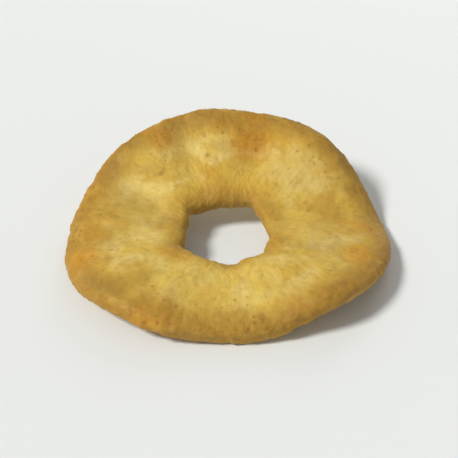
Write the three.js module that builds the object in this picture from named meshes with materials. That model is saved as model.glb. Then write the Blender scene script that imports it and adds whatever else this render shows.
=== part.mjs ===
// A dried apple ring: one slice of a peeled, cored apple that shrank, thickened at its rims and curled as it
// dried. Millimetres, +Z up. The ring lies on the surface it rests on, with its curled side at the back,
// towards +Y. The origin is on that surface, under the middle of the ring.

import * as THREE from "three";
import { ParametricGeometry } from "three/addons/geometries/ParametricGeometry.js";

// The slice, seen from above. It flares out a little on its right.
const RING_WIDTH = 66;
const RING_DEPTH = 61;
const FLARE_REACH = 5;
const FLARE_ANGLE = 0.1;
const FLARE_SPREAD = 0.6;
const OUTLINE_WAVES = [
  { crests: 3, share: 0.014, turn: 2.1 },
  { crests: 4, share: 0.026, turn: 3.14 },
  { crests: 5, share: 0.01, turn: 2.4 },
  { crests: 7, share: 0.008, turn: 0.4 },
];

// The cored hole, a little off the middle and a little square, with a shallow pocket from each seed chamber
const HOLE_WIDTH = 18;
const HOLE_DEPTH = 20;
const HOLE_OFFSET_X = 1.4;
const HOLE_OFFSET_Y = -1.2;
const HOLE_SQUARENESS = 0.04;
const HOLE_SIDES = 4;
const SEED_POCKETS = 5;
const SEED_POCKET_DEPTH = 0.6;
const SEED_POCKET_TURN = 0.6;
const SEED_POCKET_SHARPNESS = 3;

// The slice, seen in section
const THICKNESS = 6.2;
const RIM_SWELL = 0.2;
const MIDDLE_SINK = 0.08;
const SECTION_POWER = 0.72;
const THICKNESS_SWING = 0.1;
const THICKEST_SIDE = 3.6;

// How it curled: the back rises, and the front and both sides bend down to the surface
const BACK_RISE = 10.5;
const BACK_CURVE = 1.8;
const RISE_START = 0.18;
const RISE_FULL = 0.8;
const SIDE_DROP = 2.8;
const FRONT_DROP = 2.4;
const RIM_WAVE_HEIGHT = 2;
const RIM_WAVES = [
  { crests: 3, share: 0.95, turn: 1.57 },
  { crests: 4, share: 0.2, turn: 2.6 },
  { crests: 5, share: 0.25, turn: 4.4 },
  { crests: 8, share: 0.13, turn: 1.3 },
];

// How it is set down: its three feet are pressed a little flat
const FOOT_FLAT = 0.4;
const LEVELLING_ROUNDS = 6;

// Relief of the dried flesh: broad swellings, then pleats round the outer rim, pleats round the hole, and
// longer folds across each face. Each crease's own reach, depth and width is drawn between two shares.
const LUMP_HEIGHT = 0.45;
const LUMP_COUNT = 30;
const LUMPS_AROUND = 10;
const LUMPS_ACROSS = 3;
const CREASE_SHOULDER = 0.42;
const CREASE_SPREAD = 2.3;
const CREASE_GROUPS = [
  { count: 15, section: 0, scatter: 0.5, reach: 0.9, depth: 0.4, width: 1.7, slant: 0.12 },
  { count: 11, section: Math.PI, scatter: 0.35, reach: 0.8, depth: 0.3, width: 1.1, slant: 0.1 },
  { count: 10, section: Math.PI / 2, scatter: 0.35, reach: 0.5, depth: 0.3, width: 1.9, slant: 0.5 },
  { count: 9, section: -Math.PI / 2, scatter: 0.35, reach: 0.5, depth: 0.3, width: 1.9, slant: 0.5 },
];
const CREASE_SCATTER = 0.8;
const REACH_SHARES = [0.6, 1.2];
const DEPTH_SHARES = [0.35, 1];
const WIDTH_SHARES = [0.7, 1.3];
const REACH_END_SHARPNESS = 4;
const RANDOM_SEED = 20417;

// Colour and finish of the flesh
const FLESH_COLOUR = 0xc8a953;
const FLESH_ROUGHNESS = 0.62;

// Fineness of the faceted solid
const STEPS_AROUND = 144;
const STEPS_ACROSS = 40;
const EVEN_SPACING = 0.2;
const DIFFERENCE_STEP = 1e-3;

const FULL_TURN = 2 * Math.PI;

// The usual linear congruential draw
const DRAW_FACTOR = 1664525;
const DRAW_STEP = 1013904223;
const DRAW_RANGE = 2 ** 32;

// Random numbers from 0 to 1 that come out the same every time.
function seededDraws(seed) {
  let state = seed;
  return () => {
    state = (state * DRAW_FACTOR + DRAW_STEP) % DRAW_RANGE;
    return state / DRAW_RANGE;
  };
}

const draw = seededDraws(RANDOM_SEED);
const drawBetween = (low, high) => low + (high - low) * draw();

// Broad swellings: waves with random crests that close on themselves round the ring and round its section.
const lumps = Array.from({ length: LUMP_COUNT }, () => ({
  around: Math.round(drawBetween(-LUMPS_AROUND, LUMPS_AROUND)),
  across: Math.round(drawBetween(-LUMPS_ACROSS, LUMPS_ACROSS)),
  turn: drawBetween(0, FULL_TURN),
}));

// Creases: narrow valleys with raised shoulders, spread round the ring with some irregularity.
const creases = CREASE_GROUPS.flatMap((group) =>
  Array.from({ length: group.count }, (_, index) => ({
    angle: ((index + drawBetween(0, CREASE_SCATTER)) / group.count) * FULL_TURN,
    section: group.section + drawBetween(-group.scatter, group.scatter),
    reach: group.reach * drawBetween(...REACH_SHARES),
    depth: group.depth * drawBetween(...DEPTH_SHARES),
    width: group.width * drawBetween(...WIDTH_SHARES),
    slant: drawBetween(-group.slant, group.slant),
  })),
);

// The sum of a list of waves at an angle round the ring.
function waveSum(waves, angle) {
  return waves.reduce((sum, wave) => sum + wave.share * Math.cos(wave.crests * angle + wave.turn), 0);
}

// An angle brought into the half turn on either side of zero.
function wrapped(angle) {
  return angle - FULL_TURN * Math.round(angle / FULL_TURN);
}

// A power that keeps the sign, for the rounded-off section.
function signedPower(value, power) {
  return Math.sign(value) * Math.abs(value) ** power;
}

function ellipseRadius(width, depth, angle) {
  return 0.5 / Math.hypot(Math.cos(angle) / width, Math.sin(angle) / depth);
}

function outerRadius(angle) {
  const waves = 1 + waveSum(OUTLINE_WAVES, angle);
  const flare = Math.exp(-((wrapped(angle - FLARE_ANGLE) / FLARE_SPREAD) ** 2));
  return ellipseRadius(RING_WIDTH, RING_DEPTH, angle) * waves + FLARE_REACH * flare;
}

// The hole's radius, with a shallow pocket where each seed chamber was cut through.
function holeRadius(angle) {
  const pocket = Math.max(0, Math.cos(SEED_POCKETS * angle + SEED_POCKET_TURN)) ** SEED_POCKET_SHARPNESS;
  const square = 1 - HOLE_SQUARENESS * Math.cos(HOLE_SIDES * angle);
  return ellipseRadius(HOLE_WIDTH, HOLE_DEPTH, angle) * square + SEED_POCKET_DEPTH * pocket;
}

// Height of the middle of the slice above its flat state.
function curlHeight(x, y) {
  const out = Math.hypot((2 * x) / RING_WIDTH, (2 * y) / RING_DEPTH);
  const angle = Math.atan2(y, x);
  const back = THREE.MathUtils.smoothstep(Math.sin(angle), RISE_START, RISE_FULL);
  const rise = BACK_RISE * back * out ** BACK_CURVE;
  const side = SIDE_DROP * Math.cos(angle) ** 2 * out ** 2;
  const front = FRONT_DROP * Math.min(Math.sin(angle), 0) ** 2 * out ** 2;
  const waves = RIM_WAVE_HEIGHT * waveSum(RIM_WAVES, angle) * out ** 2;
  return rise - side - front + waves;
}

// A point of the smooth, curled ring. section is 0 at the outer rim, a quarter turn on top and a half turn at
// the hole.
function smoothPoint(angle, section) {
  const outer = outerRadius(angle);
  const hole = holeRadius(angle);
  const across = signedPower(Math.cos(section), SECTION_POWER);
  const up = signedPower(Math.sin(section), SECTION_POWER);
  const radius = (outer + hole) / 2 + (across * (outer - hole)) / 2;
  const towardsHole = (1 - across) / 2;
  const x = radius * Math.cos(angle) + HOLE_OFFSET_X * towardsHole;
  const y = radius * Math.sin(angle) + HOLE_OFFSET_Y * towardsHole;
  const swell = 1 - MIDDLE_SINK + RIM_SWELL * across ** 2;
  const swing = 1 + THICKNESS_SWING * Math.cos(angle - THICKEST_SIDE);
  const offset = (THICKNESS / 2) * up * swell * swing;
  const height = curlHeight(x, y);
  const slopeX = (curlHeight(x + DIFFERENCE_STEP, y) - height) / DIFFERENCE_STEP;
  const slopeY = (curlHeight(x, y + DIFFERENCE_STEP) - height) / DIFFERENCE_STEP;
  const normal = new THREE.Vector3(-slopeX, -slopeY, 1).normalize();
  return new THREE.Vector3(x, y, height).addScaledVector(normal, offset);
}

// How far the flesh stands out of the smooth ring, or sinks into it where that is negative. The broad
// swellings, brought to one mean height whatever their number, fade towards the hole, where they would crowd.
function relief(angle, section) {
  const outer = outerRadius(angle);
  const hole = holeRadius(angle);
  const arm = (outer + hole) / 2 + ((outer - hole) / 2) * Math.cos(section);
  const swelling = lumps.reduce(
    (sum, lump) => sum + Math.cos(lump.around * angle + lump.across * section + lump.turn),
    0,
  );
  let height = (LUMP_HEIGHT * swelling * Math.sqrt(2 / LUMP_COUNT) * arm) / outer;
  for (const crease of creases) {
    const along = wrapped(section - crease.section);
    const inReach = Math.exp(-((along / crease.reach) ** REACH_END_SHARPNESS));
    const away = (arm * wrapped(angle - crease.angle - crease.slant * along)) / crease.width;
    const valley = Math.exp(-(away ** 2));
    const shoulder = CREASE_SHOULDER * Math.exp(-((away / CREASE_SPREAD) ** 2));
    height += crease.depth * inReach * (shoulder - valley);
  }
  return height;
}

// The finished skin at a place round the ring (u) and round its section (v), both from 0 to 1.
function skinPoint(u, v, target) {
  const angle = FULL_TURN * (u % 1);
  const evenly = FULL_TURN * (v % 1);
  const section = evenly + EVEN_SPACING * Math.sin(2 * evenly);
  const here = smoothPoint(angle, section);
  const round = smoothPoint(angle + DIFFERENCE_STEP, section).sub(here);
  const across = smoothPoint(angle, section + DIFFERENCE_STEP).sub(here);
  const outward = round.cross(across).normalize();
  target.copy(here).addScaledVector(outward, relief(angle, section));
}

// Which foot a point belongs to: the one at the front, or the one at its side.
function footOf(point) {
  const bearing = Math.atan2(point.y, point.x);
  if (Math.abs(bearing + Math.PI / 2) < Math.PI / 4) {
    return "front";
  }
  return point.x > 0 ? "right" : "left";
}

// The height, at any place, of the surface that the three feet stand on. Each round finds the lowest point of
// each foot above the surface of the round before.
function surfaceUnder(points) {
  const plane = new THREE.Plane(new THREE.Vector3(0, 0, 1), 0);
  const heightAt = (x, y) => -(plane.normal.x * x + plane.normal.y * y + plane.constant) / plane.normal.z;
  for (let round = 0; round < LEVELLING_ROUNDS; round++) {
    const lowest = {};
    for (const point of points) {
      const foot = footOf(point);
      const above = point.z - heightAt(point.x, point.y);
      if (!lowest[foot] || above < lowest[foot].above) {
        lowest[foot] = { point, above };
      }
    }
    plane.setFromCoplanarPoints(lowest.front.point, lowest.right.point, lowest.left.point);
  }
  return heightAt;
}

// Sets the ring down on its three feet, which are pressed flat, with its middle over the origin.
function setDown(geometry) {
  const position = geometry.getAttribute("position");
  const indices = Array.from({ length: position.count }, (_, index) => index);
  const points = indices.map((index) => new THREE.Vector3().fromBufferAttribute(position, index));
  const heightAt = surfaceUnder(points);
  const middle = new THREE.Box3().setFromPoints(points).getCenter(new THREE.Vector3());
  points.forEach((point, index) => {
    const height = Math.max(0, point.z - heightAt(point.x, point.y) - FOOT_FLAT);
    position.setXYZ(index, point.x - middle.x, point.y - middle.y, height);
  });
  geometry.computeVertexNormals();
}

function appleRing() {
  const geometry = new ParametricGeometry(skinPoint, STEPS_AROUND, STEPS_ACROSS);
  setDown(geometry);
  const flesh = new THREE.MeshStandardMaterial({
    color: FLESH_COLOUR,
    roughness: FLESH_ROUGHNESS,
    metalness: 0,
  });
  const ring = new THREE.Mesh(geometry, flesh);
  ring.name = "apple_ring";
  return ring;
}

const part = new THREE.Group();
part.add(appleRing());

export default part;
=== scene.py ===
"""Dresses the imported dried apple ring: its leathery skin, its flesh and the studio round it."""

import logging
import math
from dataclasses import dataclass, field
from enum import Enum

import bpy
import numpy as np
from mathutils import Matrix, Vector

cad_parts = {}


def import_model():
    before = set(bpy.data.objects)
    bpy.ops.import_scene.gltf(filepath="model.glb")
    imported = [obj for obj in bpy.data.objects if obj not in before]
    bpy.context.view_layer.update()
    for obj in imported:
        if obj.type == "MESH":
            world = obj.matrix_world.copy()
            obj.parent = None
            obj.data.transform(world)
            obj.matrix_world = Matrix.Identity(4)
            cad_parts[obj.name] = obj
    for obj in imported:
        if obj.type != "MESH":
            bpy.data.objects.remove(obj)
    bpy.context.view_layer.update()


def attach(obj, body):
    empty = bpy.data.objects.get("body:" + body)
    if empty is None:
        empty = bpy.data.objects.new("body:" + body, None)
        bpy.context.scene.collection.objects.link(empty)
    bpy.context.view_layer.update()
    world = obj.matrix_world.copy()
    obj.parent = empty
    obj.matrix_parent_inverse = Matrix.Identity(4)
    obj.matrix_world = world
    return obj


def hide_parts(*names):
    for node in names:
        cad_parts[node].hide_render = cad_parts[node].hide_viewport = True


MM = 0.001
FULL_TURN = 2 * math.pi
LOG = logging.getLogger("apple_ring")

# How soft the bottom of a fold's valley is, and how narrow the valley.
FOLD_ROUNDING = 0.0003
FOLD_POWER = 0.3
# The share of a dot's radius within which it is at full strength.
DOT_CORE = 0.3
# Keeps a place that has no dot from being divided by zero.
LEAST_RADIUS = 1e-4

Socket = bpy.types.NodeSocket
Value = Socket | float | int | tuple
Grid = np.ndarray


def linear(hex_colour: str) -> tuple[float, float, float, float]:
    """Turns an sRGB hex colour into the linear colour that shaders read.

    Args:
        hex_colour: Six hex digits, such as "c8a953".

    Returns:
        Red, green, blue and an alpha of 1.
    """
    parts = [int(hex_colour[i : i + 2], 16) / 255 for i in (0, 2, 4)]
    toned = [p / 12.92 if p <= 0.04045 else ((p + 0.055) / 1.055) ** 2.4 for p in parts]
    return (*toned, 1.0)


@dataclass(frozen=True)
class Fade:
    """A smooth change: the values where it starts and ends, and what it goes from and to."""

    low: float
    high: float
    start: float = 0.0
    end: float = 1.0


@dataclass(frozen=True)
class Pattern:
    """A soft, uneven pattern, and how it fades in where it is laid over a colour.

    The spacing is about how far apart its swellings are, in millimetres, detail is how many finer layers
    it has, and bend is how much it meanders. Spacing and seed may be sockets, so that a tree's own inputs set
    them.
    """

    spacing: Value
    seed: Value
    detail: float = 2.0
    bend: float = 0.0
    shows: Fade = Fade(0.0, 1.0)


@dataclass(frozen=True)
class Dots:
    """Scattered round dots.

    The spacing is how far apart they can be and largest is the largest one's radius, in millimetres. Share is
    how many of the places have one.
    """

    spacing: float
    largest: float
    share: float
    strength: float = 1.0


class NodeBench:
    """Adds nodes to one tree and links them."""

    def __init__(self, tree: bpy.types.NodeTree) -> None:
        """Takes the tree to work on."""
        self.tree = tree

    def add(self, kind: str, inputs: dict | None = None, **settings: str) -> bpy.types.NodeOutputs:
        """Adds a node.

        Args:
            kind: The node's type name.
            inputs: Input name or number to a socket to link from, or to a plain value.
            settings: Properties of the node itself.

        Returns:
            The new node's outputs.
        """
        node = self.tree.nodes.new(kind)
        for name, value in settings.items():
            setattr(node, name, value)
        for key, value in (inputs or {}).items():
            if isinstance(value, Socket):
                self.tree.links.new(value, node.inputs[key])
            else:
                node.inputs[key].default_value = value
        return node.outputs

    def maths(self, operation: str, *values: Value) -> Socket:
        """Works out one sum or function of up to three numbers."""
        return self.add("ShaderNodeMath", dict(enumerate(values)), operation=operation)[0]

    def vector(self, operation: str, *values: Value) -> bpy.types.NodeOutputs:
        """Works out one sum or function of vectors."""
        return self.add("ShaderNodeVectorMath", dict(enumerate(values)), operation=operation)

    def fade(self, value: Value, fade: Fade) -> Socket:
        """Turns a value smoothly into another, and keeps the fade's ends outside it.

        Args:
            value: The value.
            fade: Where the change starts and ends, and what it goes from and to.

        Returns:
            The changed value.
        """
        inputs = {"Value": value, "From Min": fade.low, "From Max": fade.high}
        inputs |= {"To Min": fade.start, "To Max": fade.end}
        return self.add("ShaderNodeMapRange", inputs, interpolation_type="SMOOTHSTEP")[0]

    def blend(self, amount: Value, under: Value, over: Value) -> Socket:
        """Lays one colour over another by an amount from 0 to 1."""
        return self.add("ShaderNodeMix", {0: amount, 6: under, 7: over}, data_type="RGBA")[2]

    def noise(self, place: Socket, pattern: Pattern) -> Socket:
        """Adds soft noise.

        Args:
            place: Where the noise is read, in metres.
            pattern: Its spacing, seed, detail and bend.

        Returns:
            The noise's value, from 0 to 1.
        """
        inputs = {"Vector": place, "W": pattern.seed, "Scale": self.maths("DIVIDE", 1 / MM, pattern.spacing)}
        inputs |= {"Detail": pattern.detail, "Distortion": pattern.bend}
        return self.add("ShaderNodeTexNoise", inputs, noise_dimensions="4D")[0]

    def layer(self, place: Socket, pattern: Pattern) -> Socket:
        """Adds soft noise that fades in as its pattern says."""
        return self.fade(self.noise(place, pattern), pattern.shows)

    def folds(self, place: Socket, pattern: Pattern) -> Socket:
        """Adds rounded ridges between narrow valleys.

        Args:
            place: Where they are read, in metres.
            pattern: Their spacing, seed, detail and bend.

        Returns:
            Their height, from about -0.5 to 0.5.
        """
        away = self.maths("SUBTRACT", self.noise(place, pattern), 0.5)
        rounded = self.maths("POWER", self.maths("MULTIPLY_ADD", away, away, FOLD_ROUNDING), FOLD_POWER)
        return self.maths("MULTIPLY_ADD", rounded, 2.0, -0.5)

    def strayed(self, place: Socket, reach: float, noise: dict, **settings: str) -> Socket:
        """Moves places a little, this way and that.

        Args:
            place: The places, in metres.
            reach: How far apart the noise's least and most move them, in millimetres.
            noise: The inputs of the noise that they follow.
            settings: Properties of that noise.

        Returns:
            The moved places.
        """
        centred = self.vector("SUBTRACT", self.add("ShaderNodeTexNoise", noise, **settings)[1], (0.5,) * 3)[0]
        return self.vector("MULTIPLY_ADD", centred, (reach * MM,) * 3, place)[0]

    def net(self, place: Socket, pattern: Pattern, stray: float, wrinkle: Fade) -> Socket:
        """Adds a net of fine wrinkles round uneven cells.

        Args:
            place: Where it is read, in metres.
            pattern: Its spacing, seed and detail.
            stray: How far its lines stray, in millimetres.
            wrinkle: How the skin rises away from a line, by the share of a cell.

        Returns:
            0 in the wrinkles and 1 in the cells.
        """
        cells = {"W": pattern.seed, "Scale": self.maths("DIVIDE", 1 / MM, pattern.spacing)}
        wander = {"Vector": place, **cells, "Detail": pattern.detail}
        bent = {"Vector": self.strayed(place, stray, wander, noise_dimensions="4D"), **cells}
        edge = self.add("ShaderNodeTexVoronoi", bent, voronoi_dimensions="4D", feature="DISTANCE_TO_EDGE")
        return self.fade(edge["Distance"], wrinkle)

    def dots(self, place: Socket, dots: Dots) -> Socket:
        """Scatters round, soft dots.

        Args:
            place: Where they are read, in metres.
            dots: Their spacing, size, share and strength.

        Returns:
            The strength in the middle of a dot, and 0 between them.
        """
        cells = self.add("ShaderNodeTexVoronoi", {"Vector": place, "Scale": 1 / (dots.spacing * MM)})
        own = self.add("ShaderNodeSeparateColor", {0: cells["Color"]})[0]
        radius = self.fade(own, Fade(1 - dots.share, 1.0, 0.0, dots.largest / dots.spacing))
        away = self.maths("DIVIDE", cells["Distance"], self.maths("MAXIMUM", radius, LEAST_RADIUS))
        return self.fade(away, Fade(1.0, DOT_CORE, 0.0, dots.strength))


class Place(Enum):
    """Where on the slice's section a group of creases lies, as the section's angle."""

    OUTER_RIM = 0.0
    TOP_FACE = math.pi / 2
    HOLE_RIM = math.pi
    BOTTOM_FACE = -math.pi / 2


@dataclass(frozen=True)
class Wave:
    """One wave round the ring: how many crests, how strong and how far turned."""

    crests: int
    share: float
    turn: float


@dataclass(frozen=True)
class CreaseGroup:
    """Creases of one kind, in millimetres and radians."""

    count: int
    place: Place
    scatter: float
    reach: float
    depth: float
    width: float
    slant: float


@dataclass(frozen=True)
class Crease:
    """One crease: its places round the ring and round its section, and its own sizes."""

    angle: float
    section: float
    reach: float
    depth: float
    width: float
    slant: float


class SeededDraws:
    """Random numbers that come out the same every time, as in the solid's own source."""

    draw_factor: int = 1664525
    draw_step: int = 1013904223
    draw_range: int = 2**32

    def __init__(self, seed: int) -> None:
        """Starts the sequence at a seed."""
        self.state = seed

    def next(self) -> float:
        """Draws the next number from 0 to 1."""
        self.state = (self.state * self.draw_factor + self.draw_step) % self.draw_range
        return self.state / self.draw_range

    def between(self, low: float, high: float) -> float:
        """Draws the next number between two others."""
        return low + (high - low) * self.next()


@dataclass
class SliceForm:
    """The form of the curled slice, in millimetres and radians, by the same rules and sizes as the solid.

    The skin is worked out at a place round the ring (angle) and a place round its section, which is 0 at the
    outer rim, a quarter turn on the top face and half a turn at the hole.
    """

    # The outline, seen from above.
    ring_width: float = 66.0
    ring_depth: float = 61.0
    flare_reach: float = 5.0
    flare_angle: float = 0.1
    flare_spread: float = 0.6
    outline_waves: tuple[Wave, ...] = (
        Wave(3, 0.014, 2.1),
        Wave(4, 0.026, 3.14),
        Wave(5, 0.01, 2.4),
        Wave(7, 0.008, 0.4),
    )
    # The hole that the corer left, with what remains of the seed pockets.
    hole_width: float = 18.0
    hole_depth: float = 20.0
    hole_offset: tuple[float, float] = (1.4, -1.2)
    hole_squareness: float = 0.04
    hole_sides: int = 4
    seed_pockets: int = 5
    seed_pocket_depth: float = 0.6
    seed_pocket_turn: float = 0.6
    seed_pocket_sharpness: int = 3
    # The section.
    thickness: float = 6.2
    rim_swell: float = 0.2
    middle_sink: float = 0.08
    section_power: float = 0.72
    thickness_swing: float = 0.1
    thickest_side: float = 3.6
    # The curl.
    back_rise: float = 10.5
    back_curve: float = 1.8
    rise_start: float = 0.18
    rise_full: float = 0.8
    side_drop: float = 2.8
    front_drop: float = 2.4
    rim_wave_height: float = 2.0
    rim_waves: tuple[Wave, ...] = (
        Wave(3, 0.95, 1.57),
        Wave(4, 0.2, 2.6),
        Wave(5, 0.25, 4.4),
        Wave(8, 0.13, 1.3),
    )
    foot_flat: float = 0.4
    levelling_rounds: int = 6
    # Soft swellings, and creases with a raised shoulder on either side.
    lump_height: float = 0.45
    lump_count: int = 30
    lumps_around: int = 10
    lumps_across: int = 3
    crease_shoulder: float = 0.42
    crease_spread: float = 2.3
    crease_groups: tuple[CreaseGroup, ...] = (
        CreaseGroup(15, Place.OUTER_RIM, 0.5, 0.9, 0.4, 1.7, 0.12),
        CreaseGroup(11, Place.HOLE_RIM, 0.35, 0.8, 0.3, 1.1, 0.1),
        CreaseGroup(10, Place.TOP_FACE, 0.35, 0.5, 0.3, 1.9, 0.5),
        CreaseGroup(9, Place.BOTTOM_FACE, 0.35, 0.5, 0.3, 1.9, 0.5),
    )
    crease_scatter: float = 0.8
    reach_shares: tuple[float, float] = (0.6, 1.2)
    depth_shares: tuple[float, float] = (0.35, 1.0)
    width_shares: tuple[float, float] = (0.7, 1.3)
    reach_end_sharpness: int = 4
    random_seed: int = 20417
    # How the skin is worked out.
    even_spacing: float = 0.2
    difference_step: float = 1e-3
    solid_steps: tuple[int, int] = (144, 40)
    lumps: list[tuple[int, int, float]] = field(default_factory=list, init=False)
    creases: list[Crease] = field(default_factory=list, init=False)

    def __post_init__(self) -> None:
        """Draws the lumps and creases, in the solid's own order."""
        draw = SeededDraws(self.random_seed)
        for _ in range(self.lump_count):
            around = math.floor(draw.between(-1, 1) * self.lumps_around + 0.5)
            across = math.floor(draw.between(-1, 1) * self.lumps_across + 0.5)
            self.lumps.append((around, across, draw.next() * FULL_TURN))
        for group in self.crease_groups:
            for index in range(group.count):
                self.creases.append(
                    Crease(
                        angle=(index + draw.between(0, self.crease_scatter)) / group.count * FULL_TURN,
                        section=group.place.value + draw.between(-1, 1) * group.scatter,
                        reach=group.reach * draw.between(*self.reach_shares),
                        depth=group.depth * draw.between(*self.depth_shares),
                        width=group.width * draw.between(*self.width_shares),
                        slant=draw.between(-1, 1) * group.slant,
                    )
                )

    @staticmethod
    def wave_sum(waves: tuple[Wave, ...], angle: Grid) -> Grid:
        """Adds up a list of waves at an angle."""
        return sum(w.share * np.cos(w.crests * angle + w.turn) for w in waves)

    @staticmethod
    def wrapped(angle: Grid) -> Grid:
        """Brings an angle into the half turn on either side of zero."""
        return angle - FULL_TURN * np.round(angle / FULL_TURN)

    @staticmethod
    def ellipse_radius(width: float, depth: float, angle: Grid) -> Grid:
        """Gives an ellipse's radius at an angle."""
        return 0.5 / np.hypot(np.cos(angle) / width, np.sin(angle) / depth)

    def outer_radius(self, angle: Grid) -> Grid:
        """Works out the slice's outer radius, with its flare on the right.

        Args:
            angle: Places round the ring.

        Returns:
            The radius at each.
        """
        ellipse = self.ellipse_radius(self.ring_width, self.ring_depth, angle)
        flare = np.exp(-((self.wrapped(angle - self.flare_angle) / self.flare_spread) ** 2))
        return ellipse * (1 + self.wave_sum(self.outline_waves, angle)) + self.flare_reach * flare

    def hole_radius(self, angle: Grid) -> Grid:
        """Works out the cored hole's radius, with its seed pockets.

        Args:
            angle: Places round the ring.

        Returns:
            The radius at each.
        """
        swell = np.maximum(0, np.cos(self.seed_pockets * angle + self.seed_pocket_turn))
        square = 1 - self.hole_squareness * np.cos(self.hole_sides * angle)
        ellipse = self.ellipse_radius(self.hole_width, self.hole_depth, angle)
        return ellipse * square + self.seed_pocket_depth * swell**self.seed_pocket_sharpness

    def curl_height(self, x: Grid, y: Grid) -> Grid:
        """Works out how high the slice's middle lies over its flat state.

        Args:
            x: Places along X, before the slice curled.
            y: Places along Y.

        Returns:
            The height at each.
        """
        out = np.hypot(2 * x / self.ring_width, 2 * y / self.ring_depth)
        angle = np.arctan2(y, x)
        back = np.clip((np.sin(angle) - self.rise_start) / (self.rise_full - self.rise_start), 0, 1)
        rise = self.back_rise * (3 - 2 * back) * back**2 * out**self.back_curve
        side = self.side_drop * np.cos(angle) ** 2 * out**2
        front = self.front_drop * np.minimum(np.sin(angle), 0) ** 2 * out**2
        waves = self.rim_wave_height * self.wave_sum(self.rim_waves, angle) * out**2
        return rise - side - front + waves

    def flat_place(self, angle: Grid, section: Grid) -> tuple[Grid, Grid, Grid]:
        """Gives where a point lay across the slice before it curled.

        Args:
            angle: Places round the ring.
            section: Places round its section.

        Returns:
            The places along X and Y, and how far across from the outer rim (0) to the hole (1).
        """
        outer, hole = self.outer_radius(angle), self.hole_radius(angle)
        across = np.sign(np.cos(section)) * np.abs(np.cos(section)) ** self.section_power
        radius = (outer + hole) / 2 + across * (outer - hole) / 2
        towards_hole = (1 - across) / 2
        x = radius * np.cos(angle) + self.hole_offset[0] * towards_hole
        y = radius * np.sin(angle) + self.hole_offset[1] * towards_hole
        return x, y, towards_hole

    def smooth_point(self, angle: Grid, section: Grid) -> Grid:
        """Works out the smooth, curled ring.

        Args:
            angle: Places round the ring.
            section: Places round its section.

        Returns:
            The point at each.
        """
        x, y, towards_hole = self.flat_place(angle, section)
        up = np.sign(np.sin(section)) * np.abs(np.sin(section)) ** self.section_power
        swell = 1 - self.middle_sink + self.rim_swell * (1 - 2 * towards_hole) ** 2
        swing = 1 + self.thickness_swing * np.cos(angle - self.thickest_side)
        offset = self.thickness / 2 * up * swell * swing
        height = self.curl_height(x, y)
        slope_x = (self.curl_height(x + self.difference_step, y) - height) / self.difference_step
        slope_y = (self.curl_height(x, y + self.difference_step) - height) / self.difference_step
        normal = np.stack([-slope_x, -slope_y, np.ones_like(x)], -1)
        normal /= np.linalg.norm(normal, axis=-1, keepdims=True)
        return np.stack([x, y, height], -1) + normal * offset[..., None]

    def relief(self, angle: Grid, section: Grid) -> Grid:
        """Works out how far the flesh stands out of the smooth ring.

        Args:
            angle: Places round the ring.
            section: Places round its section.

        Returns:
            The height at each, which is less than zero in a crease.
        """
        swelling = sum(np.cos(a * angle + c * section + t) for a, c, t in self.lumps)
        outer, hole = self.outer_radius(angle), self.hole_radius(angle)
        arm = (outer + hole) / 2 + (outer - hole) / 2 * np.cos(section)
        height = self.lump_height * swelling * math.sqrt(2 / self.lump_count) * arm / outer
        for crease in self.creases:
            along = self.wrapped(section - crease.section)
            away = arm * self.wrapped(angle - crease.angle - crease.slant * along) / crease.width
            shoulder = self.crease_shoulder * np.exp(-((away / self.crease_spread) ** 2))
            in_reach = np.exp(-((along / crease.reach) ** self.reach_end_sharpness))
            height = height + crease.depth * in_reach * (shoulder - np.exp(-(away**2)))
        return height

    def loose_skin(self, around: int, across: int) -> tuple[Grid, Grid, Grid]:
        """Works out the skin on a grid, before the ring is set down.

        Args:
            around: Steps round the ring.
            across: Steps round its section.

        Returns:
            The points, then the angle and the section of each.
        """
        angle = np.arange(around) / around * FULL_TURN
        evenly = np.arange(across) / across * FULL_TURN
        section = evenly + self.even_spacing * np.sin(2 * evenly)
        angle, section = np.meshgrid(angle, section, indexing="ij")
        here = self.smooth_point(angle, section)
        step = self.difference_step
        outward = np.cross(
            self.smooth_point(angle + step, section) - here,
            self.smooth_point(angle, section + step) - here,
        )
        outward /= np.linalg.norm(outward, axis=-1, keepdims=True)
        return here + outward * self.relief(angle, section)[..., None], angle, section

    def surface_under(self, points: Grid) -> Grid:
        """Finds the plane that the ring's three feet stand on: one at the front and one at each side.

        Args:
            points: The solid's own points.

        Returns:
            The plane's slope along X, its slope along Y and its height at the origin.
        """
        flat = points.reshape(-1, 3)
        bearing = np.arctan2(flat[:, 1], flat[:, 0])
        front = np.abs(bearing + math.pi / 2) < math.pi / 4
        right = ~front & (flat[:, 0] > 0)
        left = ~front & (flat[:, 0] <= 0)
        plane = np.zeros(3)
        placed = np.column_stack([flat[:, :2], np.ones(len(flat))])
        for _ in range(self.levelling_rounds):
            above = flat[:, 2] - placed @ plane
            feet = [np.flatnonzero(s)[np.argmin(above[s])] for s in (front, right, left)]
            plane = np.linalg.solve(placed[feet], flat[feet, 2])
        return plane

    def skin(self, around: int, across: int) -> tuple[Grid, Grid, Grid]:
        """Works out the skin on a grid and sets it down, its feet a little flattened, as the solid is.

        Args:
            around: Steps round the ring.
            across: Steps round its section.

        Returns:
            The points, then the angle and the section of each.
        """
        solid = self.loose_skin(*self.solid_steps)[0]
        plane = self.surface_under(solid)
        middle = (solid.min((0, 1)) + solid.max((0, 1))) / 2
        points, angle, section = self.loose_skin(around, across)
        points[..., 2] -= points[..., 0] * plane[0] + points[..., 1] * plane[1] + plane[2] + self.foot_flat
        points[..., 2] = np.maximum(points[..., 2], 0)
        points[..., :2] -= middle[:2]
        return points, angle, section


@dataclass(frozen=True)
class Wrinkle:
    """One kind of fine relief: its spacing and depth in millimetres, its finer layers and how it meanders."""

    spacing: float
    depth: float
    detail: float = 2.0
    bend: float = 0.0


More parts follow.
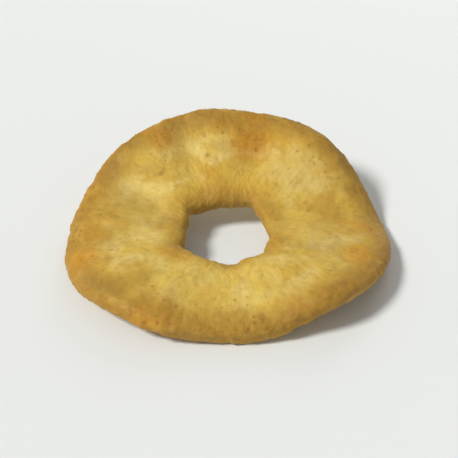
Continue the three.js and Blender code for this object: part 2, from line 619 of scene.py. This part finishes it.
@dataclass(frozen=True)
class FleshRelief:
    """The skin's fine relief, as a Geometry Nodes tree.

    Wrinkles run towards the hole, because the slice shrank most round its rim. Puckers and a net of finer
    wrinkles lie all over it, pleats and crinkles cross the outer rim, and a soft grain lies on top.
    """

    kinds: tuple[tuple[str, Wrinkle], ...] = (
        ("Radial", Wrinkle(3.4, 0.13, 3.0, 0.6)),
        ("Pucker", Wrinkle(5.0, 0.28, 3.0, 0.8)),
        ("Pleat", Wrinkle(2.4, 0.22, 1.0, 0.2)),
        ("Net", Wrinkle(2.3, 0.11)),
        ("Grain", Wrinkle(1.1, 0.06)),
        ("Crinkle", Wrinkle(1.8, 0.18, 2.0, 0.6)),
    )
    net_stray: float = 1.6
    net_wrinkle: Fade = Fade(0.0, 0.22)
    rim: Fade = Fade(0.0, 0.22, 1.0, 0.0)
    seed: float = 3.0

    def sizes(self) -> dict[str, float]:
        """Gives the tree's named inputs and their values.

        Returns:
            Each input's name, such as "Radial spacing", to its value.
        """
        sizes = {}
        for name, kind in self.kinds:
            sizes |= {f"{name} spacing": kind.spacing, f"{name} depth": kind.depth}
        return sizes | {"Seed": self.seed}

    def tree(self, material: bpy.types.Material) -> bpy.types.GeometryNodeTree:
        """Builds the tree, with a named input for each size.

        Args:
            material: The material that the skin is given.

        Returns:
            The node tree.
        """
        tree = bpy.data.node_groups.new("dried_flesh_relief", "GeometryNodeTree")
        tree.interface.new_socket("Geometry", in_out="INPUT", socket_type="NodeSocketGeometry")
        for name, value in self.sizes().items():
            socket = tree.interface.new_socket(name, in_out="INPUT", socket_type="NodeSocketFloat")
            socket.default_value = value
        tree.interface.new_socket("Geometry", in_out="OUTPUT", socket_type="NodeSocketGeometry")
        bench = NodeBench(tree)
        size = bench.add("NodeGroupInput")
        normal = bench.add("GeometryNodeInputNormal")[0]
        metres = bench.maths("MULTIPLY", self.height(bench, size), MM)
        offset = bench.add("ShaderNodeVectorMath", {0: normal, "Scale": metres}, operation="SCALE")[0]
        moved = bench.add("GeometryNodeSetPosition", {"Geometry": size["Geometry"], "Offset": offset})[0]
        smooth = bench.add("GeometryNodeSetShadeSmooth", {0: moved})[0]
        real = bench.add("GeometryNodeRealizeInstances", {0: smooth})[0]
        dressed = bench.add("GeometryNodeSetMaterial", {"Geometry": real, "Material": material})[0]
        bench.add("NodeGroupOutput", {"Geometry": dressed})
        return tree

    def height(self, bench: NodeBench, size: bpy.types.NodeOutputs) -> Socket:
        """Adds up the relief.

        Args:
            bench: Where the nodes go.
            size: The tree's named inputs.

        Returns:
            The height of the skin over its smooth state, in millimetres.
        """
        place = bench.add("GeometryNodeInputPosition")[0]
        read = "GeometryNodeInputNamedAttribute"
        flow = bench.add(read, {"Name": "flow"}, data_type="FLOAT_VECTOR")[0]
        inwards = bench.add(read, {"Name": "towards_hole"}, data_type="FLOAT")[0]
        rim = bench.fade(inwards, self.rim)
        patterns = {
            name: Pattern(size[f"{name} spacing"], size["Seed"], kind.detail, kind.bend)
            for name, kind in self.kinds
        }
        heights = {
            "Radial": bench.folds(flow, patterns["Radial"]),
            "Pucker": bench.folds(place, patterns["Pucker"]),
            "Pleat": bench.maths("MULTIPLY", bench.folds(flow, patterns["Pleat"]), rim),
            "Net": bench.net(place, patterns["Net"], self.net_stray, self.net_wrinkle),
            "Grain": bench.maths("SUBTRACT", bench.noise(place, patterns["Grain"]), 0.5),
            "Crinkle": bench.maths("MULTIPLY", bench.folds(place, patterns["Crinkle"]), rim),
        }
        total = 0.0
        for name, height in heights.items():
            total = bench.maths("MULTIPLY_ADD", height, size[f"{name} depth"], total)
        return total


@dataclass(frozen=True)
class RustPatch:
    """A place on the top face where the flesh has browned: where it is, its radius and how strong it is."""

    x: float
    y: float
    radius: float
    strength: float


@dataclass(frozen=True)
class SkinPlaces:
    """What the flesh's patterns are laid out by.

    They are places in the ring's own space, places across the slice before it curled, places stretched
    towards the hole, how far across from the outer rim (0) to the hole (1), and how deep in a crease.
    """

    own: Socket
    across_slice: Socket
    flow: Socket
    inwards: Socket
    hollow: Socket


@dataclass(frozen=True)
class DriedFlesh:
    """Apple flesh, peeled, sliced and dried in warm air. Sizes are in millimetres.

    Its cut cells have collapsed into a leathery, matt skin with a soft shine. Light goes in a little way and
    comes out warmer. It browned first where it dried first, at both rims, and where it was bruised. The outer
    rim is darkened further with painted shade, and the creases with painted shade by how deep they are.
    """

    name: str = "air_dried_apple_flesh"
    # The ground: golden, with cream patches in the middle of the faces and soft amber and tan clouds.
    golden: str = "c4982d"
    cream: str = "d8b856"
    pale: str = "e1ca7e"
    amber: str = "b9892b"
    tan: str = "a88334"
    face_outside: Fade = Fade(0.1, 0.42)
    face_inside: Fade = Fade(0.95, 0.7)
    face_cream: float = 0.36
    cream_patches: Pattern = Pattern(14.0, 1.0, 3.0, 0.3, Fade(0.36, 0.64, 0.0, 0.6))
    pale_patches: Pattern = Pattern(6.5, 17.0, 3.0, 0.5, Fade(0.45, 0.67, 0.0, 0.6))
    amber_clouds: Pattern = Pattern(9.0, 6.0, 4.0, 0.5, Fade(0.48, 0.68, 0.0, 0.5))
    tan_mottling: Pattern = Pattern(5.5, 2.0, 5.0, 0.6, Fade(0.5, 0.7, 0.0, 0.42))
    tan_flecks: Pattern = Pattern(1.7, 3.0, 4.0, 0.4, Fade(0.5, 0.72, 0.0, 0.3))
    # Real fibres are under 0.3 mm apart. These are as coarse as they need to be to show.
    tan_fibres: Pattern = Pattern(1.1, 4.0, 4.0, 0.0, Fade(0.42, 0.7, 0.0, 0.14))
    # The rims, browner than the faces, unevenly so. The outer rim's colour is partly painted shade: darker
    # than its own brown, for shade falling on the rim.
    rim_brown_and_painted_shade: str = "a37a2d"
    rim_streak: str = "865f26"
    hole_rim: str = "a37f38"
    rim_sway: Pattern = Pattern(6.0, 5.0, 4.0)
    rim_sway_width: float = 0.4
    rim_brown_and_painted_shade_shows: Fade = Fade(0.02, 0.34, 0.82, 0.0)
    hole_rim_shows: Fade = Fade(0.76, 1.08, 0.0, 0.75)
    rim_streaks: Pattern = Pattern(1.5, 14.0, 4.0, 0.5, Fade(0.5, 0.74, 0.0, 0.55))
    rim_browning: Pattern = Pattern(3.2, 15.0, 4.0, 0.6, Fade(0.48, 0.7, 0.0, 0.5))
    rim_pale_spots: Pattern = Pattern(4.2, 16.0, 4.0, 0.4, Fade(0.5, 0.72, 0.0, 0.5))
    # Bruises that turned orange, each with a rusty stipple in it.
    orange: str = "cb8d22"
    rust_brown: str = "a9651c"
    rust_height: float = 2.5
    rust_core: float = 1.0
    rust_share: float = 0.85
    rust: tuple[RustPatch, ...] = (
        RustPatch(7.0, 22.5, 6.8, 1.0),
        RustPatch(-13.5, 23.5, 4.6, 0.6),
        RustPatch(-27.0, -10.0, 5.5, 0.75),
        RustPatch(27.5, -9.5, 5.0, 0.6),
    )
    faint_rust: Pattern = Pattern(8.0, 11.0, 4.0, 0.5, Fade(0.56, 0.74, 0.0, 0.6))
    rust_stipple: Pattern = Pattern(1.3, 12.0, 2.0, 0.0, Fade(0.5, 0.7, 0.0, 0.4))
    rust_dots: Dots = Dots(1.2, 0.62, 0.8, 0.9)
    rust_swirl: float = 3.3
    # Freckles in clusters, most of them towards the outer rim, and a few darker specks.
    freckle: str = "a0682a"
    speck: str = "7d5a28"
    freckle_dots: Dots = Dots(1.25, 0.6, 0.6)
    freckle_clusters: Pattern = Pattern(9.0, 13.0, 3.0, 0.0, Fade(0.4, 0.62, 0.3, 0.9))
    freckles_outwards: Fade = Fade(0.08, 0.6, 1.0, 0.3)
    specks: Dots = Dots(3.4, 0.6, 0.3, 0.4)
    # An apple has ten bundles of veins round its core. Where they are cut they show as soft olive dots.
    vein: str = "8c6c2e"
    vein_count: int = 10
    vein_radius: float = 20.7
    vein_size: float = 1.0
    vein_core: float = 0.2
    vein_scatter: float = 0.5
    vein_stray: float = 3.0
    vein_drift: float = 9.0
    vein_shows: Fade = Fade(0.2, 0.9, 0.0, 0.6)
    stray: float = 5.0
    # The surface.
    # Painted shade: creases are darkened by how deep they are, standing in for the shade that falls in them.
    crease: str = "8d702f"
    crease_painted_shade_shows: Fade = Fade(0.15, 0.8, 0.0, 0.4)
    roughness: Pattern = Pattern(4.0, 7.0, shows=Fade(0.3, 0.7, 0.56, 0.72))
    ior: float = 1.45
    shine: float = 0.27
    light_inside: float = 0.32
    light_reach: tuple[float, float, float] = (1.0, 0.68, 0.32)
    light_depth: float = 2.8
    sheen: float = 0.05
    sheen_roughness: float = 0.4
    # Real cells are about 0.2 mm across. These pores and fibres are about twice as coarse, so that they show.
    pores: Pattern = Pattern(0.45, 8.0, 3.0)
    pore_depth: float = 0.1
    fibres: Pattern = Pattern(0.7, 9.0, 3.0)
    fibre_depth: float = 0.09

    def material(self) -> bpy.types.Material:
        """Builds the material.

        Returns:
            The material.
        """
        material = bpy.data.materials.new(self.name)
        material.use_nodes = True
        material.node_tree.nodes.clear()
        bench = NodeBench(material.node_tree)
        read = "ShaderNodeAttribute"
        at = SkinPlaces(
            own=bench.add("ShaderNodeTexCoord")["Object"],
            across_slice=bench.add(read, attribute_name="slice_place")["Vector"],
            flow=bench.add(read, attribute_name="flow")["Vector"],
            inwards=bench.add(read, attribute_name="towards_hole")["Fac"],
            hollow=bench.add(read, attribute_name="hollow")["Fac"],
        )
        colour = self.ground(bench, at)
        colour = self.rims(bench, at, colour)
        colour = self.rust_patches(bench, at, colour)
        colour = self.freckles(bench, at, colour)
        colour = bench.blend(self.vein_dots(bench, at), colour, linear(self.vein))
        colour = bench.blend(bench.dots(at.own, self.specks), colour, linear(self.speck))
        # Painted shade in the creases: the deeper a crease, the darker.
        colour = bench.blend(bench.fade(at.hollow, self.crease_painted_shade_shows), colour, linear(self.crease))
        shader = bench.add(
            "ShaderNodeBsdfPrincipled",
            {
                "Base Color": colour,
                "Roughness": bench.layer(at.own, self.roughness),
                "IOR": self.ior,
                "Specular IOR Level": self.shine,
                "Subsurface Weight": self.light_inside,
                "Subsurface Radius": self.light_reach,
                "Subsurface Scale": self.light_depth * MM,
                "Sheen Weight": self.sheen,
                "Sheen Roughness": self.sheen_roughness,
                "Normal": self.bump(bench, at),
            },
        )[0]
        bench.add("ShaderNodeOutputMaterial", {"Surface": shader})
        return material

    def ground(self, bench: NodeBench, at: SkinPlaces) -> Socket:
        """Mixes the flesh's own colour.

        Args:
            bench: Where the nodes go.
            at: What it is laid out by.

        Returns:
            Cream in the middle of the faces and golden elsewhere, mottled, with faint fibres.
        """
        outside, inside = bench.fade(at.inwards, self.face_outside), bench.fade(at.inwards, self.face_inside)
        face = bench.maths("MULTIPLY", outside, inside)
        cream = bench.maths("MULTIPLY_ADD", face, self.face_cream, bench.layer(at.own, self.cream_patches))
        colour = bench.blend(cream, linear(self.golden), linear(self.cream))
        paler = bench.maths("MULTIPLY", bench.layer(at.own, self.pale_patches), face)
        colour = bench.blend(paler, colour, linear(self.pale))
        colour = bench.blend(bench.layer(at.own, self.amber_clouds), colour, linear(self.amber))
        for place, pattern in (
            (at.own, self.tan_mottling),
            (at.own, self.tan_flecks),
            (at.flow, self.tan_fibres),
        ):
            colour = bench.blend(bench.layer(place, pattern), colour, linear(self.tan))
        return colour

    def rims(self, bench: NodeBench, at: SkinPlaces, colour: Socket) -> Socket:
        """Browns both rims unevenly, and darkens the outer rim further with painted shade.

        Args:
            bench: Where the nodes go.
            at: What they are laid out by.
            colour: The flesh so far.

        Returns:
            The flesh with a golden-brown outer rim, partly painted shade, streaked and spotted, and a browner
            hole.
        """
        sway = bench.noise(at.own, self.rim_sway)
        sway = bench.maths("MULTIPLY_ADD", sway, self.rim_sway_width, -self.rim_sway_width / 2)
        inwards = bench.maths("ADD", at.inwards, sway)
        # The outer rim's colour is partly its own brown and partly painted shade.
        outer = bench.fade(inwards, self.rim_brown_and_painted_shade_shows)
        colour = bench.blend(outer, colour, linear(self.rim_brown_and_painted_shade))
        streaks, browning = bench.layer(at.flow, self.rim_streaks), bench.layer(at.own, self.rim_browning)
        darker = bench.maths("MULTIPLY", bench.maths("MAXIMUM", streaks, browning), outer)
        colour = bench.blend(darker, colour, linear(self.rim_streak))
        paler = bench.maths("MULTIPLY", bench.layer(at.own, self.rim_pale_spots), outer)
        colour = bench.blend(paler, colour, linear(self.cream))
        return bench.blend(bench.fade(inwards, self.hole_rim_shows), colour, linear(self.hole_rim))

    def rust_patches(self, bench: NodeBench, at: SkinPlaces, colour: Socket) -> Socket:
        """Adds orange patches, and fainter ones elsewhere, each with a rusty stipple in it.

        Args:
            bench: Where the nodes go.
            at: What they are laid out by.
            colour: The flesh so far.

        Returns:
            The flesh with its patches.
        """
        swirl = {"Vector": at.own, "Scale": 1 / (self.rust_swirl * MM)}
        loose = bench.strayed(at.across_slice, self.stray, swirl)
        patches = bench.layer(at.own, self.faint_rust)
        for patch in self.rust:
            middle = (patch.x * MM, patch.y * MM, self.rust_height * MM)
            away = bench.vector("DISTANCE", loose, middle)["Value"]
            here = bench.fade(away, Fade(patch.radius * MM, self.rust_core * MM, 0.0, patch.strength))
            patches = bench.maths("MAXIMUM", patches, here)
        colour = bench.blend(bench.maths("MULTIPLY", patches, self.rust_share), colour, linear(self.orange))
        stipple, dots = bench.layer(at.own, self.rust_stipple), bench.dots(at.own, self.rust_dots)
        rusty = bench.maths("MULTIPLY", patches, bench.maths("MAXIMUM", stipple, dots))
        return bench.blend(rusty, colour, linear(self.rust_brown))

    def freckles(self, bench: NodeBench, at: SkinPlaces, colour: Socket) -> Socket:
        """Adds fine brown freckles.

        Args:
            bench: Where the nodes go.
            at: What they are laid out by.
            colour: The flesh so far.

        Returns:
            The flesh with its freckles, in clusters and mostly towards the outer rim.
        """
        clusters = bench.layer(at.own, self.freckle_clusters)
        outwards = bench.fade(at.inwards, self.freckles_outwards)
        where = bench.maths("MULTIPLY", clusters, outwards)
        amount = bench.maths("MULTIPLY", where, bench.dots(at.own, self.freckle_dots))
        return bench.blend(amount, colour, linear(self.freckle))

    def vein_dots(self, bench: NodeBench, at: SkinPlaces) -> Socket:
        """Finds the dots where the apple's veins were cut through, all about as far from the core.

        Args:
            bench: Where the nodes go.
            at: What they are laid out by.

        Returns:
            How strong a dot is there. Each has a strength of its own, and a few don't show.
        """
        drift = {"Vector": at.own, "Scale": 1 / (self.vein_drift * MM), "Detail": 0.0}
        axes = bench.add("ShaderNodeSeparateXYZ", {0: bench.strayed(at.across_slice, self.stray, drift)})
        level = bench.add("ShaderNodeCombineXYZ", {0: axes[0], 1: axes[1]})[0]
        radius = bench.vector("LENGTH", level)["Value"]
        turns = bench.maths("MULTIPLY", bench.maths("ARCTAN2", axes[1], axes[0]), self.vein_count / FULL_TURN)
        number = bench.maths("FLOOR", turns)
        own = bench.add("ShaderNodeTexWhiteNoise", {"W": number}, noise_dimensions="1D")[0]
        turn = bench.maths("MULTIPLY_ADD", own, self.vein_scatter, (1 - self.vein_scatter) / 2)
        along = bench.maths("SUBTRACT", bench.maths("FRACT", turns), turn)
        arc = bench.maths("MULTIPLY", along, self.vein_radius * MM * FULL_TURN / self.vein_count)
        outermost = (self.vein_radius + self.vein_stray / 2) * MM
        out = bench.maths("MULTIPLY_ADD", own, -self.vein_stray * MM, outermost)
        off = bench.maths("SUBTRACT", radius, out)
        away = bench.vector("LENGTH", bench.add("ShaderNodeCombineXYZ", {0: arc, 1: off})[0])["Value"]
        dot = bench.fade(away, Fade(self.vein_size * MM, self.vein_core * self.vein_size * MM))
        return bench.maths("MULTIPLY", dot, bench.fade(own, self.vein_shows))

    def bump(self, bench: NodeBench, at: SkinPlaces) -> Socket:
        """Adds pores and fibres too fine for the mesh.

        Args:
            bench: Where the nodes go.
            at: What they are laid out by.

        Returns:
            The normal of the skin with them.
        """
        fibres = bench.maths("MULTIPLY", bench.noise(at.flow, self.fibres), self.fibre_depth)
        height = bench.maths("MULTIPLY_ADD", bench.noise(at.own, self.pores), self.pore_depth, fibres)
        return bench.add("ShaderNodeBump", {"Strength": 1.0, "Distance": MM, "Height": height})[0]


@dataclass(frozen=True)
class AppleRing:
    """The dried apple ring itself: one closed skin in the place of its solid. Sizes are in millimetres."""

    form: SliceForm = field(default_factory=SliceForm)
    relief: FleshRelief = FleshRelief()
    flesh: DriedFlesh = DriedFlesh()
    steps_around: int = 576
    steps_across: int = 168
    # A narrow ring that the skin is wrapped on, so that what is laid out by it is stretched towards the hole.
    flow_radius: float = 30.0
    flow_spread: float = 0.18
    flow_height: float = 5.0
    # Baked textures are laid out by a map of this name.
    map_name: str = "OFBake"
    map_margin: float = 0.004

    def build(self) -> bpy.types.Object:
        """Builds the ring, dresses it and puts it in the place of its solid.

        Returns:
            The finished ring.
        """
        points, angle, section = self.form.skin(self.steps_around, self.steps_across)
        mesh = bpy.data.meshes.new("apple_ring_skin")
        mesh.from_pydata((points * MM).reshape(-1, 3).tolist(), [], self.quads())
        self.add_places(mesh, angle, section)
        self.add_bake_map(mesh, points)
        mesh.update()
        finished = self.with_relief(mesh)
        self.keep_above_surface(finished)
        ring = bpy.data.objects.new("dried_apple_ring", finished)
        bpy.context.scene.collection.objects.link(ring)
        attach(ring, "root")
        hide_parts("apple_ring")
        LOG.info("%s: %d faces", ring.name, len(finished.polygons))
        return ring

    def quads(self) -> list[tuple[int, int, int, int]]:
        """Lists the faces of the grid, closed both ways.

        Returns:
            The four points of each face.
        """
        rows, columns = self.steps_around, self.steps_across
        i, j = np.meshgrid(np.arange(rows), np.arange(columns), indexing="ij")
        next_i, next_j = (i + 1) % rows, (j + 1) % columns
        corners = [i * columns + j, next_i * columns + j, next_i * columns + next_j, i * columns + next_j]
        return np.stack(corners, -1).reshape(-1, 4).tolist()

    def add_places(self, mesh: bpy.types.Mesh, angle: Grid, section: Grid) -> None:
        """Stores what the relief and the flesh are laid out by.

        Args:
            mesh: The skin.
            angle: Each point's place round the ring.
            section: Each point's place round its section.
        """
        x, y, towards_hole = self.form.flat_place(angle, section)
        height = self.form.thickness / 2 * np.sin(section)
        reach = self.flow_radius * (1 + self.flow_spread * np.cos(section))
        lift = self.flow_height * np.sin(section)
        flow = np.stack([reach * np.cos(angle), reach * np.sin(angle), lift], -1)
        for name, values in {"slice_place": np.stack([x, y, height], -1), "flow": flow}.items():
            attribute = mesh.attributes.new(name, "FLOAT_VECTOR", "POINT")
            attribute.data.foreach_set("vector", (values * MM).reshape(-1).astype(np.float32))
        hollow = np.maximum(0, -self.form.relief(angle, section))
        for name, values in {"towards_hole": towards_hole, "hollow": hollow}.items():
            attribute = mesh.attributes.new(name, "FLOAT", "POINT")
            attribute.data.foreach_set("value", values.reshape(-1).astype(np.float32))

    def add_bake_map(self, mesh: bpy.types.Mesh, points: Grid) -> None:
        """Lays the skin out evenly in two strips, one for each half of the ring, for textures baked from it.

        Args:
            mesh: The skin.
            points: Its points, as a grid.
        """
        rows, columns = self.steps_around, self.steps_across
        # The strips are cut open under the ring, where it rests.
        half, cut = rows // 2, columns * 3 // 4
        widths = np.linalg.norm(np.roll(points, -1, axis=1) - points, axis=-1).mean(0)
        reach = np.concatenate([[0.0], np.cumsum(np.roll(widths, -cut))])
        reach /= reach[-1]
        i, j = np.meshgrid(np.arange(rows), np.arange(columns), indexing="ij")
        along, across = i % half, (j - cut) % columns
        corners = ((0, 0), (1, 0), (1, 1), (0, 1))
        u = np.stack([(along + a) / half for a, _ in corners], -1)
        v = np.stack([reach[across + b] for _, b in corners], -1)
        used = 1 - 2 * self.map_margin
        places = [self.map_margin + used * u, ((i // half)[..., None] + self.map_margin + used * v) / 2]
        layer = mesh.uv_layers.new(name=self.map_name)
        layer.uv.foreach_set("vector", np.stack(places, -1).astype(np.float32).ravel())

    def with_relief(self, mesh: bpy.types.Mesh) -> bpy.types.Mesh:
        """Runs the relief's tree on the skin.

        Args:
            mesh: The smooth skin.

        Returns:
            The skin with its relief and material, as a plain mesh.
        """
        rough = bpy.data.objects.new("apple_ring_rough", mesh)
        bpy.context.scene.collection.objects.link(rough)
        modifier = rough.modifiers.new("relief", "NODES")
        modifier.node_group = self.relief.tree(self.flesh.material())
        sizes = self.relief.sizes()
        for socket in modifier.node_group.interface.items_tree:
            if socket.name in sizes:
                modifier[socket.identifier] = sizes[socket.name]
        evaluated = rough.evaluated_get(bpy.context.evaluated_depsgraph_get())
        finished = bpy.data.meshes.new_from_object(evaluated)
        bpy.data.objects.remove(rough)
        return finished

    @staticmethod
    def keep_above_surface(mesh: bpy.types.Mesh) -> None:
        """Keeps every point of the skin at or above the surface that the ring rests on."""
        for vertex in mesh.vertices:
            vertex.co.z = max(0.0, vertex.co.z)


@dataclass(frozen=True)
class PalePaper:
    """Uncoated paper, pressed smooth: pale, even and matt, so that only the ring's shadow shows on it."""

    name: str = "pale_paper"
    colour: str = "e9ebe8"
    roughness: float = 0.8

    def material(self) -> bpy.types.Material:
        """Builds the material.

        Returns:
            The material.
        """
        material = bpy.data.materials.new(self.name)
        material.use_nodes = True
        shader = material.node_tree.nodes["Principled BSDF"]
        shader.inputs["Base Color"].default_value = linear(self.colour)
        shader.inputs["Roughness"].default_value = self.roughness
        return material


@dataclass(frozen=True)
class Studio:
    """A pale floor, soft lights and the camera. Sizes are in metres and angles in degrees."""

    paper: PalePaper = PalePaper()
    floor_size: float = 3.0
    # How strong the sky is, from a bright backdrop low down to an even light overhead.
    sky: Fade = Fade(0.12, 0.45, 0.9, 0.3)
    key_place: tuple[float, float, float] = (-0.6, -0.28, 0.74)
    key_strength: float = 2.6
    key_spread: float = 14.0
    rim_place: tuple[float, float, float] = (0.16, 0.42, 0.3)
    rim_size: float = 0.25
    rim_power: float = 0.3
    target: tuple[float, float, float] = (0.0, 0.0, 0.006)
    elevation: float = 38.0
    distance: float = 0.268
    lens: float = 100.0
    sensor: float = 36.0

    def build(self) -> None:
        """Builds the floor, the lights and the camera, and shows colours as they are."""
        self.floor()
        self.lights()
        self.camera()
        bpy.context.scene.view_settings.view_transform = "Standard"

    def floor(self) -> None:
        """Lays a plain pale floor."""
        half = self.floor_size / 2
        mesh = bpy.data.meshes.new("floor")
        corners = [(-half, -half, 0), (half, -half, 0), (half, half, 0), (-half, half, 0)]
        mesh.from_pydata(corners, [], [(0, 1, 2, 3)])
        mesh.materials.append(self.paper.material())
        floor = bpy.data.objects.new("floor", mesh)
        bpy.context.scene.collection.objects.link(floor)

    def lights(self) -> None:
        """Sets the sky, a broad key from the upper left and a soft box behind that picks out the rim."""
        world = bpy.data.worlds.new("studio")
        bpy.context.scene.world = world
        world.use_nodes = True
        world.node_tree.nodes.clear()
        bench = NodeBench(world.node_tree)
        upwards = bench.add("ShaderNodeSeparateXYZ", {0: bench.add("ShaderNodeTexCoord")["Generated"]})[2]
        light = {"Color": linear("ffffff"), "Strength": bench.fade(upwards, self.sky)}
        bench.add("ShaderNodeOutputWorld", {"Surface": bench.add("ShaderNodeBackground", light)[0]})
        key = bpy.data.lights.new("key", "SUN")
        key.angle = math.radians(self.key_spread)
        key.energy = self.key_strength
        self.hang(key, Vector(self.key_place))
        rim = bpy.data.lights.new("rim", "AREA")
        rim.size = self.rim_size
        rim.energy = self.rim_power
        self.hang(rim, Vector(self.rim_place))

    @staticmethod
    def hang(light: bpy.types.Light, place: Vector) -> None:
        """Puts a light at a place and aims it at the origin.

        Args:
            light: The light.
            place: Where it hangs.
        """
        lamp = bpy.data.objects.new(light.name, light)
        lamp.location = place
        lamp.rotation_euler = (-place).to_track_quat("-Z", "Y").to_euler()
        bpy.context.scene.collection.objects.link(lamp)

    def camera(self) -> None:
        """Sets the camera in front of the ring, looking down on it."""
        rise = math.radians(self.elevation)
        back = Vector((0, -math.cos(rise), math.sin(rise)))
        data = bpy.data.cameras.new("camera")
        data.lens = self.lens
        data.sensor_width = self.sensor
        camera = bpy.data.objects.new("camera", data)
        camera.location = Vector(self.target) + back * self.distance
        camera.rotation_euler = (-back).to_track_quat("-Z", "Y").to_euler()
        bpy.context.scene.collection.objects.link(camera)
        bpy.context.scene.camera = camera


def main() -> None:
    """Builds the ring and the studio round it."""
    logging.basicConfig(level=logging.INFO, format="%(message)s")
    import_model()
    AppleRing().build()
    Studio().build()


if __name__ == "__main__":
    main()
